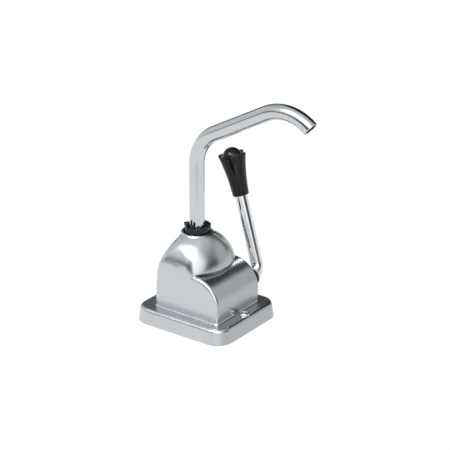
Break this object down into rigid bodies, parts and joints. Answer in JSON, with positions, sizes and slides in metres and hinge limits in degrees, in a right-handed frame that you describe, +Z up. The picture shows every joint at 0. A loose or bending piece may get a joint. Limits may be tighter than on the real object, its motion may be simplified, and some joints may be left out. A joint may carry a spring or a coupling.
{
  "type": "lever hand water pump",
  "caption": "Deck-mounted lever hand water pump: chromed cover on a rounded flange, swivel spout bent over the sink, side lever with a black grip, bucket piston inside.",
  "frame": {"origin": "centre of the base underside, on the surface the pump stands on", "axes": "+Z up the spout's riser, -Y towards the user and the spout's outlet, +X towards the lever"},
  "size_m": [0.098, 0.1522, 0.2033],
  "materials": {
    "chromed_cover": "satin-bright chromed casting",
    "chromed_tube": "polished chromed tube",
    "chromed_rod": "bright chromed rod",
    "screw_steel": "zinc-bright steel",
    "liner_steel": "honed stainless steel",
    "bronze": "machined",
    "knob_plastic": "glossy moulded",
    "black_plastic": "moulded, slight sheen",
    "pump_plastic": "glass-filled moulding",
    "valve_plastic": "natural acetal",
    "rubber": "moulded"
  },
  "bodies": {
    "pump_body": {"chrome_cover": "chromed_cover", "cover_screws": "screw_steel", "base_plate": "black_plastic", "block_screws": "screw_steel", "pump_block": "pump_plastic", "cylinder_liner": "liner_steel", "head_gasket": "rubber", "pump_head": "pump_plastic", "head_screws": "screw_steel", "lever_side_bush": "bronze", "far_side_bush": "bronze", "shaft_seal_ring": "rubber", "seal_washer": "bronze", "lever_boot": "rubber", "spout_seal_rings": "rubber", "spout_collar": "black_plastic"},
    "lever": {"lever_rod": "chromed_rod", "lever_knob": "knob_plastic", "knob_insert": "bronze", "crank_arm": "liner_steel", "crank_roll_pin": "screw_steel", "crank_pin": "screw_steel", "crank_rollers": "bronze"},
    "piston_group": {"piston": "valve_plastic", "piston_seal": "rubber", "piston_yoke": "valve_plastic", "piston_screw": "screw_steel"},
    "piston_valve": {"piston_valve_ring": "rubber"},
    "inlet_valve": {"inlet_valve_disc": "valve_plastic"},
    "spout": {"spout_tube": "chromed_tube", "spout_retaining_ring": "screw_steel"}
  },
  "joints": [
    {"name": "lever_swing", "type": "hinge", "parent": "pump_body", "child": "lever", "pos_m": [0, -0.0227, 0.03], "axis": [1, 0, 0], "range_deg": [0, 36]},
    {"name": "piston_stroke", "type": "slide", "parent": "pump_body", "child": "piston_group", "axis": [0, 0, 1], "range_m": [0, 0.01177]},
    {"name": "piston_valve_lift", "type": "slide", "parent": "piston_group", "child": "piston_valve", "axis": [0, 0, 1], "range_m": [0, 0.001]},
    {"name": "inlet_valve_lift", "type": "slide", "parent": "pump_body", "child": "inlet_valve", "axis": [0, 0, 1], "range_m": [0, 0.001]},
    {"name": "spout_swivel", "type": "hinge", "parent": "pump_body", "child": "spout", "pos_m": [0, 0.0091, 0.065], "axis": [0, 0, 1], "continuous": true}
  ],
  "couplings": [
    {"joint": "piston_stroke", "follows": "lever_swing", "m_per_rad": 0.01871}
  ]
}
